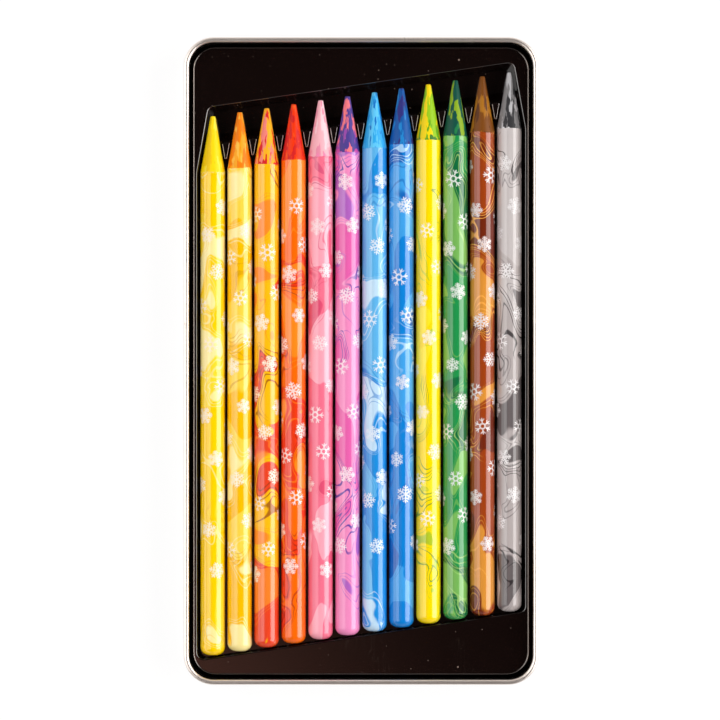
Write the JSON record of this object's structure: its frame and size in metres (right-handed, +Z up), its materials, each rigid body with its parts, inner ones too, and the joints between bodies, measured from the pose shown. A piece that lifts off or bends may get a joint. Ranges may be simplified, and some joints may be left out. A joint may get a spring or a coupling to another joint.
{
  "type": "coloured pencil box",
  "caption": "Open flat tin with a rolled rim and a formed black tray whose half-round seats hold a slanted row of sharpened woodless coloured pencils.",
  "frame": {"origin": "on the table under the middle of the tin", "axes": "+Y along the pencils towards their points, +X across the row to the right seen from above, +Z up out of the tin"},
  "size_m": [0.1012, 0.1848, 0.0105],
  "materials": {
    "tinplate": "bright rolled tinplate",
    "tray_sheet": "glossy black formed sheet",
    "pigment_01": "sharpened wax pigment, lemon yellow",
    "lacquer_01": "glossy marbled lacquer, lemon yellow",
    "pigment_02": "sharpened wax pigment, golden yellow",
    "lacquer_02": "glossy marbled lacquer, golden yellow",
    "pigment_03": "sharpened wax pigment, yellow and orange",
    "lacquer_03": "glossy marbled lacquer, yellow and orange",
    "pigment_04": "sharpened wax pigment, orange and red",
    "lacquer_04": "glossy marbled lacquer, orange and red",
    "pigment_05": "sharpened wax pigment, pink",
    "lacquer_05": "glossy marbled lacquer, pink",
    "pigment_06": "sharpened wax pigment, magenta and violet",
    "lacquer_06": "glossy marbled lacquer, magenta and violet",
    "pigment_07": "sharpened wax pigment, sky blue",
    "lacquer_07": "glossy marbled lacquer, sky blue",
    "pigment_08": "sharpened wax pigment, deep blue",
    "lacquer_08": "glossy marbled lacquer, deep blue",
    "pigment_09": "sharpened wax pigment, yellow and green",
    "lacquer_09": "glossy marbled lacquer, yellow and green",
    "pigment_10": "sharpened wax pigment, green",
    "lacquer_10": "glossy marbled lacquer, green",
    "pigment_11": "sharpened wax pigment, red brown",
    "lacquer_11": "glossy marbled lacquer, red brown",
    "pigment_12": "sharpened wax pigment, silver grey",
    "lacquer_12": "glossy marbled lacquer, silver grey"
  },
  "bodies": {
    "tin": {"tin_base": "tinplate"},
    "tray": {"insert_tray": "tray_sheet"},
    "pencil_01": {"pencil_01_core": "pigment_01", "pencil_01_jacket": "lacquer_01"},
    "pencil_02": {"pencil_02_core": "pigment_02", "pencil_02_jacket": "lacquer_02"},
    "pencil_03": {"pencil_03_core": "pigment_03", "pencil_03_jacket": "lacquer_03"},
    "pencil_04": {"pencil_04_core": "pigment_04", "pencil_04_jacket": "lacquer_04"},
    "pencil_05": {"pencil_05_core": "pigment_05", "pencil_05_jacket": "lacquer_05"},
    "pencil_06": {"pencil_06_core": "pigment_06", "pencil_06_jacket": "lacquer_06"},
    "pencil_07": {"pencil_07_core": "pigment_07", "pencil_07_jacket": "lacquer_07"},
    "pencil_08": {"pencil_08_core": "pigment_08", "pencil_08_jacket": "lacquer_08"},
    "pencil_09": {"pencil_09_core": "pigment_09", "pencil_09_jacket": "lacquer_09"},
    "pencil_10": {"pencil_10_core": "pigment_10", "pencil_10_jacket": "lacquer_10"},
    "pencil_11": {"pencil_11_core": "pigment_11", "pencil_11_jacket": "lacquer_11"},
    "pencil_12": {"pencil_12_core": "pigment_12", "pencil_12_jacket": "lacquer_12"}
  },
  "joints": [
    {"name": "tray_lift", "type": "slide", "parent": "tin", "child": "tray", "axis": [0, 0, 1], "range_m": [0, 0.03]},
    {"name": "pencil_01_lift", "type": "slide", "parent": "tray", "child": "pencil_01", "axis": [0, 0, 1], "range_m": [0, 0.04]},
    {"name": "pencil_02_lift", "type": "slide", "parent": "tray", "child": "pencil_02", "axis": [0, 0, 1], "range_m": [0, 0.04]},
    {"name": "pencil_03_lift", "type": "slide", "parent": "tray", "child": "pencil_03", "axis": [0, 0, 1], "range_m": [0, 0.04]},
    {"name": "pencil_04_lift", "type": "slide", "parent": "tray", "child": "pencil_04", "axis": [0, 0, 1], "range_m": [0, 0.04]},
    {"name": "pencil_05_lift", "type": "slide", "parent": "tray", "child": "pencil_05", "axis": [0, 0, 1], "range_m": [0, 0.04]},
    {"name": "pencil_06_lift", "type": "slide", "parent": "tray", "child": "pencil_06", "axis": [0, 0, 1], "range_m": [0, 0.04]},
    {"name": "pencil_07_lift", "type": "slide", "parent": "tray", "child": "pencil_07", "axis": [0, 0, 1], "range_m": [0, 0.04]},
    {"name": "pencil_08_lift", "type": "slide", "parent": "tray", "child": "pencil_08", "axis": [0, 0, 1], "range_m": [0, 0.04]},
    {"name": "pencil_09_lift", "type": "slide", "parent": "tray", "child": "pencil_09", "axis": [0, 0, 1], "range_m": [0, 0.04]},
    {"name": "pencil_10_lift", "type": "slide", "parent": "tray", "child": "pencil_10", "axis": [0, 0, 1], "range_m": [0, 0.04]},
    {"name": "pencil_11_lift", "type": "slide", "parent": "tray", "child": "pencil_11", "axis": [0, 0, 1], "range_m": [0, 0.04]},
    {"name": "pencil_12_lift", "type": "slide", "parent": "tray", "child": "pencil_12", "axis": [0, 0, 1], "range_m": [0, 0.04]}
  ]
}
